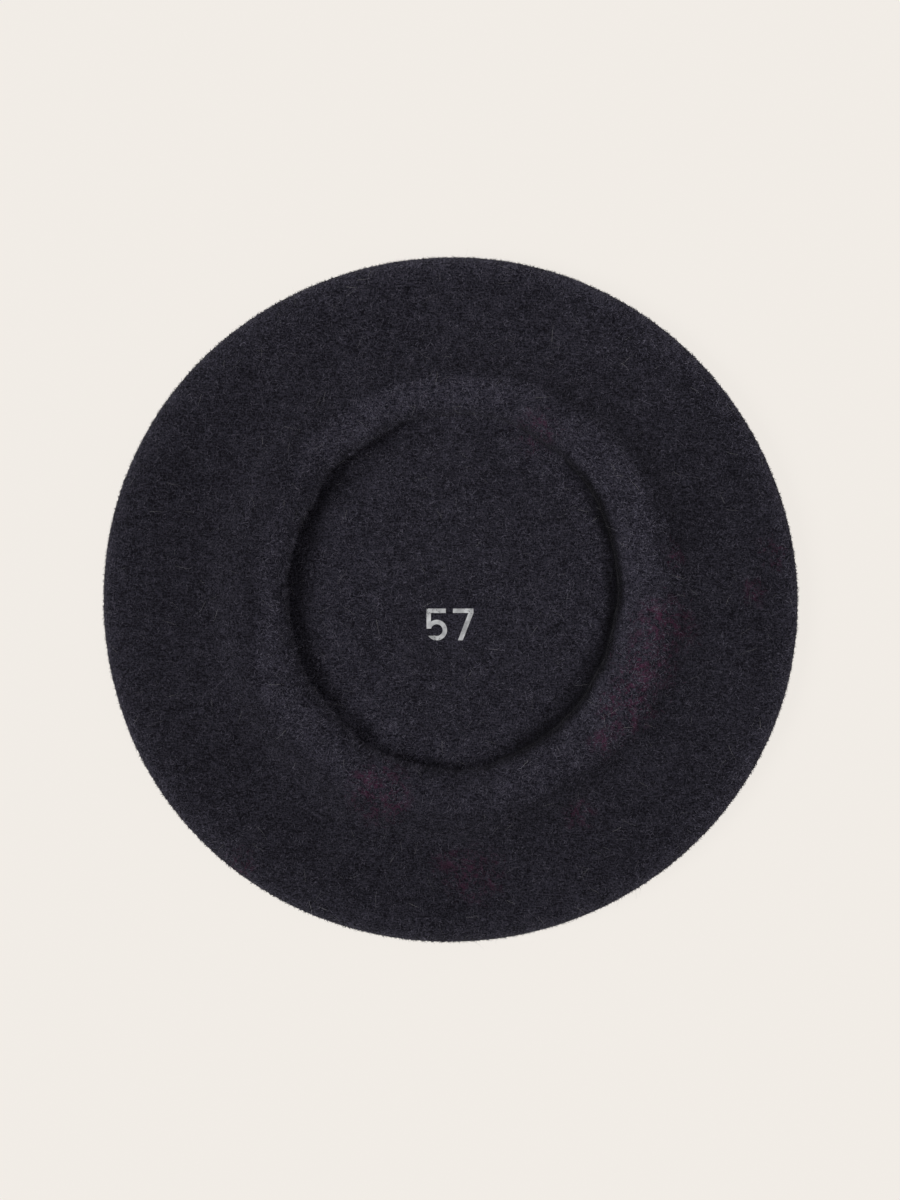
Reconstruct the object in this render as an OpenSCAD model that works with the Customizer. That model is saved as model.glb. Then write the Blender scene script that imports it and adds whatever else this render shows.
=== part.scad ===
// Fulled wool beret lying on its crown, with the head opening facing up.
// The origin is the middle of the crown on the table. +Z points up out of the head opening, +Y to the front.

/* [Outline] */
// Width across the rim, along X
outer_w = 285; // [236:1:342]
// Depth across the rim, along Y
outer_d = 281; // [234:1:338]
// Thickness of the fulled felt
felt_t = 2.2; // [1.8:0.1:2.7]

/* [Rim] */
// Height of the widest line above the table
rim_z = 7; // [5.8:0.1:8.4]
// Rise of the shoulder above the widest line
rim_rise = 4.4; // [3.7:0.1:5.3]
// Distance from the rim in to the shoulder
fold_in = 12; // [10:0.5:14.5]
// Distance from the rim in to where the crown meets the table
crown_turn = 20; // [16:1:24]

/* [Head opening] */
// Width of the relaxed opening, along X
opening_w = 132; // [110:1:159]
// Depth of the relaxed opening, along Y
opening_d = 145; // [120:1:174]
// Distance that the opening sits towards the front
opening_shift = 3; // [0:0.5:6]

/* [Lip] */
// Drop from the shoulder to the hollow ring round the lip
gully_drop = 2; // [1:0.1:2.4]
// Distance from the opening's edge out to the hollow ring
gully_in = 30; // [26:0.5:36]
// Rise from the hollow ring to the lip's crest
lip_rise = 4.6; // [3.8:0.1:5.6]
// How much lower the crest lies at the front
front_dip = 2.5; // [0:0.1:3]
// How much higher the crest lies at the -X side
side_lift = 1.5; // [0:0.1:2.5]
// Distance from the opening's edge out to the crest
crest_in = 13; // [11:0.5:15.5]
// Slope of the lip's top where it folds under, in degrees
lip_slope = 20; // [12:1:26]

/* [Hem] */
// Width of the felt that is turned in at the opening
hem_w = 18; // [15:0.5:22]
// Width of the elastic that lies in the hem
elastic_w = 10; // [8:0.5:12]
// Thickness of the elastic
elastic_t = 0.8; // [0.6:0.1:1]
// Distance from the hem's fold to the elastic
elastic_in = 1; // [0.5:0.1:1.5]
// Diameter of the sewing thread
thread_d = 0.6; // [0.4:0.1:0.7]
// Distance between the stitches along the hem's raw edge
stitch_pitch = 7; // [5:0.5:9]
// Lean of each stitch along the edge, in degrees
stitch_lean = 18; // [0:1:25]

/* [Stalk] */
// Length of the stalk from its root
stalk_len = 16; // [13:0.5:20]
// Diameter of the stalk at its root
stalk_root_d = 2.8; // [2.3:0.1:3.4]
// Diameter of the stalk at its tip
stalk_tip_d = 2; // [1.6:0.1:2.3]
// Radius of the flat middle of the crown, which the folded stalk lifts off the table
lift_flat_r = 22; // [20:1:27]
// Radius at which the lifted crown is back on the table
lift_r = 70; // [58:1:84]

/* [Care label] */
// Width of the label
label_w = 26; // [21:1:31]
// Length of the label from its sewn edge
label_len = 14; // [11.5:0.5:17]
// Thickness of the folded ribbon
label_t = 0.5; // [0.4:0.1:0.6]
// Diameter of the bead along the label's sewn edge
label_bead_d = 1.2; // [1:0.1:1.4]
// Distance from the hem's raw edge in to the label's sewn edge
label_in = 5; // [4:0.5:6]
// Distance from the label's ends in to its two tacks
tack_in = 4; // [3:0.5:5]

/* [Size print] */
// Height of the printed numerals
digit_h = 13; // [11:0.5:15]
// Width of one numeral
digit_w = 8.4; // [7:0.1:9]
// Width of the printed stroke
digit_stroke = 1.8; // [1.4:0.1:2.2]
// Space between the numerals
digit_gap = 2.4; // [1.5:0.1:3]
// Distance of the numerals' middle from the crown's middle, towards the back
print_y = 10; // [6:0.5:12]
// Thickness of the printed film
print_t = 0.15; // [0.1:0.05:0.3]

/* [Fits] */
// Clearance between soft pieces
soft_gap = 0.3; // [0.2:0.05:0.4]
// Clearance under a thread that lies on the felt
thread_gap = 0.15; // [0.1:0.05:0.2]
// Clearance between the folded stalk and the table
table_gap = 0.2; // [0.1:0.05:0.3]

/* [Hidden] */

felt_colour = [0.13, 0.13, 0.16];
thread_colour = [0.16, 0.16, 0.2];
silver_colour = [0.62, 0.63, 0.65];
label_colour = [0.86, 0.86, 0.83];

segments = 48;            // round the opening
lift_steps = 4;           // from the crown's flat middle to the table
lower_steps = 5;          // up the rim's lower quarter
upper_steps = 4;          // over the rim's upper quarter
gully_steps = 3;          // down to the hollow ring
rise_steps = 5;           // up to the crest
drop_steps = 3;           // from the crest to the fold
fold_steps = 6;           // round the fold
hem_steps = 4;            // back along the hem
slope_step = 0.01;        // half width over which a slope is measured

fold_gap = elastic_t + 2 * soft_gap;
fold_r = (felt_t + fold_gap) / 2;
crown_lift = stalk_root_d + soft_gap + table_gap;
shoulder_z = rim_z + rim_rise;
gully_z = shoulder_z - gully_drop;
fold_in_x = felt_t / 2 + (1 - sin(lip_slope)) * fold_r;   // from the opening's edge to where the fold starts

// Eased step from 0 to 1
function ease(u) = (1 - cos(180 * max(0, min(1, u)))) / 2;

// Plan points on the rim and on the opening's edge
function rim_at(a) = [outer_w / 2 * cos(a), outer_d / 2 * sin(a)];
function edge_at(a) = [opening_w / 2 * cos(a), opening_shift + opening_d / 2 * sin(a)];
function reach(a) = norm(rim_at(a) - edge_at(a));
function crown_dir(a) = rim_at(a) / norm(rim_at(a));
function brim_dir(a) = (rim_at(a) - edge_at(a)) / reach(a);

// Heights of the felt's middle layer. x is the distance in from the rim.
function lift_at(r) = crown_lift * (1 - ease((r - lift_flat_r) / (lift_r - lift_flat_r)));
function crest_z(a) = gully_z + lip_rise + side_lift * ease((1 - cos(a)) / 2) - front_dip * ease(sin(a));
function fold_x(a) = reach(a) - fold_in_x;
function brim_z(a, x) =
    let (gully_x = reach(a) - gully_in, crest_x = reach(a) - crest_in)
    x < gully_x ? shoulder_z - gully_drop * ease((x - fold_in) / (gully_x - fold_in)) :
    x < crest_x ? gully_z + (crest_z(a) - gully_z) * ease((x - gully_x) / (crest_x - gully_x)) :
    crest_z(a) - tan(lip_slope) / (2 * (fold_x(a) - crest_x)) * pow(x - crest_x, 2);
function brim_slope(a, x) = (brim_z(a, x + slope_step) - brim_z(a, x - slope_step)) / (2 * slope_step);
function brim_up(a, x) = let (s = brim_slope(a, x)) [-s, 1] / sqrt(1 + s * s);

// A point this far under the middle of the brim's upper layer
function under_brim(a, x, depth) = [x, brim_z(a, x)] - depth * brim_up(a, x);
function hem_line(a, x) = under_brim(a, x, 2 * fold_r);

// Section points become points in space, along the crown or along the brim
function on_crown(a, p) = let (q = rim_at(a) - p.x * crown_dir(a)) [q.x, q.y, p.y];
function on_brim(a, p) = let (q = rim_at(a) - p.x * brim_dir(a)) [q.x, q.y, p.y];

// The middle of the felt, from the crown's flat middle out round the rim and in to the hem's raw edge
function crown_line(a) = [
    for (i = [0 : lift_steps])
        let (r = lift_flat_r + (lift_r - lift_flat_r) * i / lift_steps)
        [norm(rim_at(a)) - r, felt_t / 2 + lift_at(r)],
    for (i = [0 : lower_steps])
        let (t = 90 * i / lower_steps)
        [crown_turn - (crown_turn - felt_t / 2) * sin(t), felt_t / 2 + (rim_z - felt_t / 2) * (1 - cos(t))]
];
function between(from, to, steps) = [for (i = [1 : steps]) from + (to - from) * i / steps];
function brim_line(a) =
    let (
        gully_x = reach(a) - gully_in,
        crest_x = reach(a) - crest_in,
        stations = concat(
            between(fold_in, gully_x, gully_steps),
            between(gully_x, crest_x, rise_steps),
            between(crest_x, fold_x(a), drop_steps)),
        fold_middle = under_brim(a, fold_x(a), fold_r)
    ) [
        for (i = [1 : upper_steps])
            let (t = 90 * i / upper_steps)
            [felt_t / 2 + (fold_in - felt_t / 2) * (1 - cos(t)), rim_z + rim_rise * sin(t)],
        for (x = stations) [x, brim_z(a, x)],
        for (i = [1 : fold_steps])
            let (t = lip_slope + 180 * i / fold_steps)
            fold_middle + fold_r * [sin(t), cos(t)],
        for (x = between(fold_x(a), reach(a) - hem_w, hem_steps)) hem_line(a, x)
    ];

// Outward side of a line at its point i
function side(line, i) =
    let (d = line[min(i + 1, len(line) - 1)] - line[max(i - 1, 0)])
    [-d.y, d.x] / norm(d);

// One slice through the felt: its outer face, the round raw edge, then its inner face
function slice(a) =
    let (
        crown = crown_line(a),
        line = concat(crown, brim_line(a)),
        last = len(line) - 1,
        out = [for (i = [0 : last]) side(line, i)],
        ahead = [out[last].y, -out[last].x],
        faces = concat(
            [for (i = [0 : last]) line[i] + out[i] * felt_t / 2],
            [for (t = [60, 120]) line[last] + (cos(t) * out[last] + sin(t) * ahead) * felt_t / 2],
            [for (i = [last : -1 : 0]) line[i] - out[i] * felt_t / 2]),
        folds = len(crown)
    )
    [for (k = [0 : len(faces) - 1])
        (k < folds || k >= len(faces) - folds) ? on_crown(a, faces[k]) : on_brim(a, faces[k])];

// A closed skin over slices set round the axis, with a pole at each end of the slices
module skin_with_poles(slices, start, end) {
    n = len(slices);
    m = len(slices[0]);
    points = concat([start, end], [for (s = slices) for (p = s) p]);
    faces = [
        for (j = [0 : n - 1])
            let (a = 2 + j * m, b = 2 + ((j + 1) % n) * m)
            each concat(
                [[0, a, b], [1, b + m - 1, a + m - 1]],
                [for (k = [0 : m - 2]) each [[a + k, a + k + 1, b + k + 1], [a + k, b + k + 1, b + k]]])
    ];
    polyhedron(points, faces, convexity = 6);
}

// A closed ring over slices that each close on themselves
module ring_skin(slices) {
    n = len(slices);
    m = len(slices[0]);
    points = [for (s = slices) for (p = s) p];
    faces = [
        for (j = [0 : n - 1], k = [0 : m - 1])
            let (a = j * m, b = ((j + 1) % n) * m, l = (k + 1) % m)
            each [[a + k, a + l, b + l], [a + k, b + l, b + k]]
    ];
    polyhedron(points, faces, convexity = 4);
}

// The seamless shell: crown, rim, brim, rolled lip and turned-in hem
module felt_body() {
    color(felt_colour)
    skin_with_poles(
        [for (i = [0 : segments - 1]) slice(360 * i / segments)],
        [0, 0, crown_lift],
        [0, 0, crown_lift + felt_t]);
}

// The elastic that grips the head, lying between the brim and the hem
module hem_elastic() {
    function strip(a) =
        let (
            inner = fold_x(a) - elastic_in,
            stations = [for (i = [0 : hem_steps]) inner - elastic_w * i / hem_steps])
        concat(
            [for (x = stations) on_brim(a, under_brim(a, x, fold_r + elastic_t / 2))],
            [for (i = [hem_steps : -1 : 0]) on_brim(a, under_brim(a, stations[i], fold_r - elastic_t / 2))]);
    color(thread_colour)
    ring_skin([for (i = [0 : segments - 1]) strip(360 * i / segments)]);
}

// Round of overcast stitches that holds the hem's raw edge to the brim, left out where the label is sewn in
stitch_r = felt_t / 2 + fold_gap - thread_gap - thread_d / 2;
stitch_wrap = 190;
hem_edge_a = opening_w / 2 + hem_w;
hem_edge_b = opening_d / 2 + hem_w;
stitch_count = floor(PI * (hem_edge_a + hem_edge_b) / stitch_pitch);
module hem_stitches() {
    color(thread_colour)
    for (i = [0 : stitch_count - 1]) {
        a = 360 * (i + 0.5) / stitch_count;
        x = reach(a) - hem_w;
        d = brim_dir(a);
        spot = on_brim(a, hem_line(a, x));
        if (spot.y > 0 || abs(spot.x) > label_w / 2 + stitch_r)
        translate(spot)
        rotate([0, 0, atan2(d.y, d.x)])
        rotate([stitch_lean, 0, 0])
        rotate([90, 0, 0])
        rotate([0, 0, -atan(brim_slope(a, x)) - stitch_wrap / 2])
        rotate_extrude(angle = stitch_wrap)
            translate([stitch_r, 0]) circle(d = thread_d, $fn = 24);
    }
}

// The stalk at the crown's middle, folded flat under it
stalk_z = table_gap + stalk_root_d / 2;
module stalk() {
    root_r = stalk_root_d / 2;
    tip_r = stalk_tip_d / 2;
    color(felt_colour)
    translate([0, 0, stalk_z]) rotate([0, 90, 0]) rotate_extrude($fn = 48)
    intersection() {
        translate([0, -root_r]) square([root_r, stalk_len + root_r]);
        union() {
            circle(r = root_r, $fn = 48);
            polygon([[0, 0], [root_r, 0], [tip_r, stalk_len - tip_r], [0, stalk_len - tip_r]]);
            translate([0, stalk_len - tip_r]) circle(r = tip_r, $fn = 48);
        }
    }
}

// The head size, printed on the inside of the crown
module numeral_five() {
    bowl_r = digit_w / 2;
    bowl_cut = bowl_r * 0.55;     // opens the bowl on its left side
    stem_y = bowl_r * 1.15;       // where the stem stands on the bowl
    translate([0, digit_h - digit_stroke]) square([digit_w * 0.94, digit_stroke]);
    translate([0, stem_y]) square([digit_stroke, digit_h - stem_y]);
    translate([bowl_r, bowl_r]) difference() {
        circle(r = bowl_r, $fn = 48);
        circle(r = bowl_r - digit_stroke, $fn = 48);
        translate([-bowl_r, -bowl_cut]) square([bowl_r * 0.7, bowl_cut + bowl_r * 0.15]);
    }
}
module numeral_seven() {
    foot = digit_w * 0.24;
    translate([0, digit_h - digit_stroke]) square([digit_w, digit_stroke]);
    polygon([
        [foot, 0], [foot + digit_stroke * 1.1, 0],
        [digit_w, digit_h - digit_stroke], [digit_w - digit_stroke * 1.15, digit_h - digit_stroke]]);
}
module size_print() {
    color(silver_colour)
    translate([-digit_w - digit_gap / 2, -print_y - digit_h / 2, crown_lift + felt_t])
    linear_extrude(print_t) {
        numeral_five();
        translate([digit_w + digit_gap, 0]) numeral_seven();
    }
}

// The care label hangs from the hem at the back and rests on the inside of the crown
back = 270;
tack_r = label_bead_d / 2 + soft_gap + thread_d / 2;
label_x = reach(back) - hem_w + label_in;
tack_gap = 1.5 * soft_gap;   // the felt bows towards the loops between its segments
label_hang = felt_t / 2 + tack_gap + thread_d / 2 + tack_r;
label_axis = on_brim(back, hem_line(back, label_x) - label_hang * brim_up(back, label_x));
label_drop = label_axis.z - felt_t - soft_gap - label_t / 2;
label_angle = asin(min(1, label_drop / label_len));
module care_label() {
    color(label_colour)
    translate(label_axis) rotate([0, 0, back - 90]) rotate([-label_angle, 0, 0]) {
        translate([-label_w / 2, 0, -label_t / 2]) cube([label_w, label_len, label_t]);
        rotate([0, 90, 0]) cylinder(d = label_bead_d, h = label_w, center = true, $fn = 32);
    }
}

// Two thread loops that carry the label's bead
tack_wrap = 150;
tack_start = 35;          // keeps the loops clear of the label when it is lifted
module label_tacks() {
    color(thread_colour)
    for (s = [-1, 1])
        translate(label_axis + [s * (label_w / 2 - tack_in), 0, 0])
        rotate([0, 0, back])
        rotate([90, 0, 0])
        rotate([0, 0, tack_start])
        rotate_extrude(angle = tack_wrap)
            translate([tack_r, 0]) circle(d = thread_d, $fn = 24);
}

felt_body();
hem_elastic();
hem_stitches();
stalk();
size_print();
care_label();
label_tacks();
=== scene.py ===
# A fulled wool beret lying on its crown with the head opening up.
# Everything ends in metres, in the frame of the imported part: origin under the crown, +Z up, +Y front.

import math

import bpy
import bmesh
from mathutils import Matrix, Vector, noise


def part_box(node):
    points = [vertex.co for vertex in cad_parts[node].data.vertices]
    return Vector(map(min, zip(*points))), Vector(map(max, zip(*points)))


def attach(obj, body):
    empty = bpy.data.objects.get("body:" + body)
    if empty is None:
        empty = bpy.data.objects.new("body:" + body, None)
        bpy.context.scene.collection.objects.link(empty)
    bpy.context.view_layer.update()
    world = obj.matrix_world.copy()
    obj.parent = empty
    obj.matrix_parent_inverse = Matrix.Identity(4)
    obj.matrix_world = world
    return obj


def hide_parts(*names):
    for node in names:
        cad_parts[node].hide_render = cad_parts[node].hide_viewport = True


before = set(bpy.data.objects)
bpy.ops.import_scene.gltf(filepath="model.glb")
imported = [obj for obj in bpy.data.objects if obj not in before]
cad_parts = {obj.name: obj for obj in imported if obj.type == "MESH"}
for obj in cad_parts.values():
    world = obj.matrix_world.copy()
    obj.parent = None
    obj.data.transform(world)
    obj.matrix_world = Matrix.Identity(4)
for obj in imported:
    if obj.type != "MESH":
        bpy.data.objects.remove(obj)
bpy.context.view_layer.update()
scene = bpy.context.scene
mm = 0.001


# nodes and materials
def feed(tree, socket, value):
    # a socket takes another node's output or a fixed value
    if isinstance(value, bpy.types.NodeSocket):
        tree.links.new(value, socket)
    else:
        socket.default_value = value


def node(tree, kind, inputs=None, **settings):
    made = tree.nodes.new(kind)
    for name, value in settings.items():
        setattr(made, name, value)
    for name, value in (inputs or {}).items():
        feed(tree, made.inputs[name], value)
    return made


def maths(tree, operation, *values):
    return node(tree, "ShaderNodeMath", dict(enumerate(values)), operation=operation).outputs[0]


def ranged(tree, value, **ends):
    # fromMin, fromMax, toMin and toMax, each where it isn't plain 0 or 1
    made = node(tree, "ShaderNodeMapRange", {"Value": value})
    for name, socket in (("fromMin", 1), ("fromMax", 2), ("toMin", 3), ("toMax", 4)):
        if name in ends:
            made.inputs[socket].default_value = ends[name]
    return made.outputs["Result"]


def blended(tree, share, dark, pale):
    made = node(tree, "ShaderNodeMix", {"Factor": share, "A": dark, "B": pale}, data_type="RGBA")
    return made.outputs["Result"]


def newMaterial(name, values):
    # the values are the same all over, so they sit on the shader's own sockets
    material = bpy.data.materials.new(name)
    material.use_nodes = True
    tree = material.node_tree
    shader = tree.nodes["Principled BSDF"]
    for socket, value in values.items():
        shader.inputs[socket].default_value = value
    return material, tree, shader


def relief(tree, shader, height, finish):
    # the high spots are smoother, and the bump follows the same height
    dullLow, dullHigh = finish["dullness"]
    feed(tree, shader.inputs["Roughness"], ranged(tree, height, toMin=dullLow, toMax=dullHigh))
    strength, depth = finish["bump"]
    bump = node(tree, "ShaderNodeBump", {"Strength": strength, "Distance": depth * mm, "Height": height})
    feed(tree, shader.inputs["Normal"], bump.outputs["Normal"])


# camera, floor and light
studio = {
    "lens": 85.0,
    "sensorHeight": 36.0,
    "aspect": 0.75,                    # width to height
    "viewHeight": 490 * mm,            # how much the frame takes in, top to bottom
    "viewPlane": 7 * mm,               # at the height of the rim
    "floorSize": 40.0,
    "floorColor": (0.879, 0.839, 0.791),
    "floorBounce": 0.06,
    "floorGlow": 0.945,
    "skyTop": 0.55,
    "skySide": 0.25,
    "skyFade": (0.2, 0.95),            # how high it starts and stops to brighten
    "skyColor": (1.0, 0.99, 0.975),
    "keyTurn": math.radians(190),      # where the soft key stands, round from +X
    "keyTilt": math.radians(46),       # and down from straight above
    "keySoftness": math.radians(30),
    "keyPower": 2.15,
}


def makeCamera():
    data = bpy.data.cameras.new("studioCamera")
    data.sensor_fit = "VERTICAL"
    data.sensor_height = studio["sensorHeight"]
    data.sensor_width = studio["sensorHeight"] * studio["aspect"]
    data.lens = studio["lens"]
    camera = bpy.data.objects.new("studioCamera", data)
    distance = studio["viewHeight"] * studio["lens"] / studio["sensorHeight"]
    camera.location = (0, 0, studio["viewPlane"] + distance)
    scene.collection.objects.link(camera)
    scene.camera = camera


def makeFloor():
    bm = bmesh.new()
    bmesh.ops.create_grid(bm, x_segments=1, y_segments=1, size=studio["floorSize"])
    mesh = bpy.data.meshes.new("floor")
    bm.to_mesh(mesh)
    bm.free()
    floor = bpy.data.objects.new("floor", mesh)
    scene.collection.objects.link(floor)
    bounce = [c * studio["floorBounce"] for c in studio["floorColor"]]
    material = newMaterial("paleFloor", {
        "Base Color": (*bounce, 1), "Roughness": 0.9, "Specular IOR Level": 0.1,
        "Emission Color": (*studio["floorColor"], 1), "Emission Strength": studio["floorGlow"],
    })[0]
    mesh.materials.append(material)


def makeLight():
    world = bpy.data.worlds.new("studioWorld")
    world.use_nodes = True
    tree = world.node_tree
    # the sky is brightest overhead
    low, high = studio["skyFade"]
    coords = node(tree, "ShaderNodeTexCoord")
    parts = node(tree, "ShaderNodeSeparateXYZ", {"Vector": coords.outputs["Generated"]})
    strength = node(tree, "ShaderNodeMapRange", {
        "Value": parts.outputs["Z"], "From Min": low, "From Max": high,
        "To Min": studio["skySide"], "To Max": studio["skyTop"],
    }, interpolation_type="SMOOTHSTEP")
    sky = tree.nodes["Background"]
    feed(tree, sky.inputs["Strength"], strength.outputs["Result"])
    sky.inputs["Color"].default_value = (*studio["skyColor"], 1)
    # past the floor's far edge the camera sees the floor's own tone
    backdrop = node(tree, "ShaderNodeBackground", {"Color": (*studio["floorColor"], 1)})
    seen = node(tree, "ShaderNodeLightPath")
    chosen = node(tree, "ShaderNodeMixShader", {
        "Fac": seen.outputs["Is Camera Ray"],
        1: sky.outputs["Background"], 2: backdrop.outputs["Background"],
    })
    feed(tree, tree.nodes["World Output"].inputs["Surface"], chosen.outputs["Shader"])
    scene.world = world
    data = bpy.data.lights.new("softKey", "SUN")
    data.angle = studio["keySoftness"]
    data.energy = studio["keyPower"]
    key = bpy.data.objects.new("softKey", data)
    key.rotation_euler = (0, studio["keyTilt"], studio["keyTurn"])
    scene.collection.objects.link(key)
    scene.view_settings.view_transform = "Standard"


makeCamera()
makeFloor()
makeLight()
print("camera, floor and light are set")


# meshes and curves
def toObject(bm, name):
    # a bmesh worked in millimetres becomes an object at the origin, in metres
    bmesh.ops.recalc_face_normals(bm, faces=bm.faces)
    bmesh.ops.scale(bm, vec=(mm, mm, mm), verts=bm.verts)
    mesh = bpy.data.meshes.new(name)
    bm.to_mesh(mesh)
    bm.free()
    mesh.shade_smooth()
    made = bpy.data.objects.new(name, mesh)
    scene.collection.objects.link(made)
    print(name + ":", len(mesh.vertices), "vertices,", len(mesh.polygons), "faces")
    return made


def spinRound(bm, outline, axis, steps, near):
    # a full turn of the outline, closed on itself
    bmesh.ops.spin(
        bm, geom=outline, cent=(0, 0, 0), axis=axis, dvec=(0, 0, 0),
        angle=2 * math.pi, steps=steps, use_merge=True, use_duplicate=False)
    bmesh.ops.remove_doubles(bm, verts=bm.verts, dist=near)


def subdivide(piece, levels):
    smooth = piece.modifiers.new("smooth", "SUBSURF")
    smooth.levels = levels
    smooth.render_levels = levels


def ease(u):
    u = min(1.0, max(0.0, u))
    return (1 - math.cos(math.pi * u)) / 2


def spaced(start, end, count):
    return [start + (end - start) * i / count for i in range(1, count + 1)]


def through(knots, x):
    # smooth curve through the knots, level at both ends
    slopes = [0.0]
    for p, q in zip(knots, knots[2:]):
        slopes.append((q[1] - p[1]) / (q[0] - p[0]))
    slopes.append(0.0)
    for i, (p, q) in enumerate(zip(knots, knots[1:])):
        if x <= q[0] or q is knots[-1]:
            run = q[0] - p[0]
            u = min(1.0, max(0.0, (x - p[0]) / run))
            return ((2 * u ** 3 - 3 * u ** 2 + 1) * p[1] + (u ** 3 - 2 * u ** 2 + u) * run * slopes[i]
                    + (3 * u ** 2 - 2 * u ** 3) * q[1] + (u ** 3 - u ** 2) * run * slopes[i + 1])


# the felt's shape; lengths in millimetres, heights are of the felt's middle layer
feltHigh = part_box("felt_body")[1]
beret = {
    "halfX": feltHigh.x / mm - 0.5,    # leaves room for the nap
    "halfY": feltHigh.y / mm - 0.5,
    "felt": 2.2,
    "rimZ": 7.0,
    "rimRise": 4.4,
    "foldIn": 12.0,
    "crownTurn": 20.0,
    "openingX": 66.0,
    "openingY": 72.5,
    "openingShift": 3.0,
    "bandDrop": 3.0,       # fall of the band from its crest in to the edge
    "rollDrop": 1.6,       # and of the round edge itself
    "rollIn": 9.0,
    "hem": 18.0,
    "foldGap": 1.4,
    "foldStart": 1.9,      # from the opening's edge to where the felt turns under
    "crownLift": 3.3,
    "liftFlat": 22.0,
    "tableGap": 0.05,
    "turns": 160,          # how many cuts the shell is spun from
    "merge": 1e-5,         # spun points closer than this are one
}
# the lip at twelve places round the opening, from the right side to the front and on:
# edge moved out, crest height, drop over the hem's step, height of the hollow,
# how strong the painted highlight on the band is and where it fades out, how dark the painted shade in the
# crease is (below 0 the crease is painted lighter), and the painted light and shade on the crown beside it
# (above 1 lighter)
lipSides = {
    0: (2.4, 14.2, 2.0, 10.1, 0.48, 25, 0.82, 1.27),
    30: (2.3, 13.6, 2.0, 9.6, 0.46, 22, 0.79, 1.31),
    60: (1.6, 12.4, 1.8, 9.4, 0.38, 16, 0.0, 1.29),
    90: (0.1, 11.4, 1.2, 9.2, 0.74, 15, -0.35, 1.08),
    120: (-0.3, 12.4, 1.3, 9.4, 0.76, 15, -0.32, 0.86),
    150: (-0.3, 14.2, 1.2, 10.2, 0.24, 13, -0.40, 0.78),
    180: (0.5, 14.8, 1.2, 10.5, 0.56, 11, -0.40, 0.82),
    210: (-0.2, 14.9, 1.8, 9.9, 0.54, 19, -0.50, 0.99),
    240: (-0.1, 14.6, 2.0, 9.7, 0.48, 17, -0.55, 1.28),
    270: (-0.3, 14.2, 1.5, 9.8, 0.20, 17, -0.15, 1.12),
    300: (-0.6, 14.0, 1.8, 9.8, 0.32, 19, 0.60, 1.04),
    330: (0.2, 14.2, 2.0, 9.9, 0.46, 25, 0.64, 1.09),
}
lipStops = (17.5, 23.5, 31.0, 46.0)    # crest, foot of the hem's step, hollow, brim
foldRadius = (beret["felt"] + beret["foldGap"]) / 2
shoulderZ = beret["rimZ"] + beret["rimRise"]
lipSlope = math.atan(2 * beret["bandDrop"] / lipStops[0] + 3 * beret["rollDrop"] / beret["rollIn"] * 0.62)


def lipAt(a):
    stops = sorted(lipSides)
    step = 360 / len(stops)
    turn = math.degrees(a) % 360
    i = int(turn // step)
    blend = ease(turn / step - i)
    here = lipSides[stops[i]]
    there = lipSides[stops[(i + 1) % len(stops)]]
    return [p + (q - p) * blend for p, q in zip(here, there)]


def uneven(a, waves, size):
    # a small waviness that closes on itself round the opening
    return size * noise.noise(Vector((waves * math.cos(a), waves * math.sin(a), waves)))


def rimAt(a):
    wobble = 0.2 * math.cos(3 * a + 1.0) + 0.25 * math.cos(4 * a + 2.2) + 0.15 * math.cos(5 * a)
    return Vector(((beret["halfX"] + wobble) * math.cos(a), (beret["halfY"] + wobble) * math.sin(a)))


def edgeAt(a):
    out = lipAt(a)[0] + uneven(a, 4.0, 1.1) + uneven(a, 11.0, 0.9) + uneven(a, 23.0, 0.5)
    x = (beret["openingX"] + out) * math.cos(a)
    y = beret["openingShift"] + (beret["openingY"] + out) * math.sin(a)
    return Vector((x, y))


def liftAt(r):
    # the crown's middle stands off the table, its top nearly level, then drops under the lip
    level = beret["crownLift"] * (1 - 0.2 * ease((r - beret["liftFlat"]) / 30))
    return level * (1 - ease((r - 50) / 22))


def brimZ(knots, inward):
    # height at a distance out from the opening's edge
    crestIn = knots[0][0]
    if inward < crestIn:
        roll = max(0.0, 1 - inward / beret["rollIn"])
        return knots[0][1] - beret["bandDrop"] * (1 - inward / crestIn) ** 2 - beret["rollDrop"] * roll ** 3
    return through(knots, inward)


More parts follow.
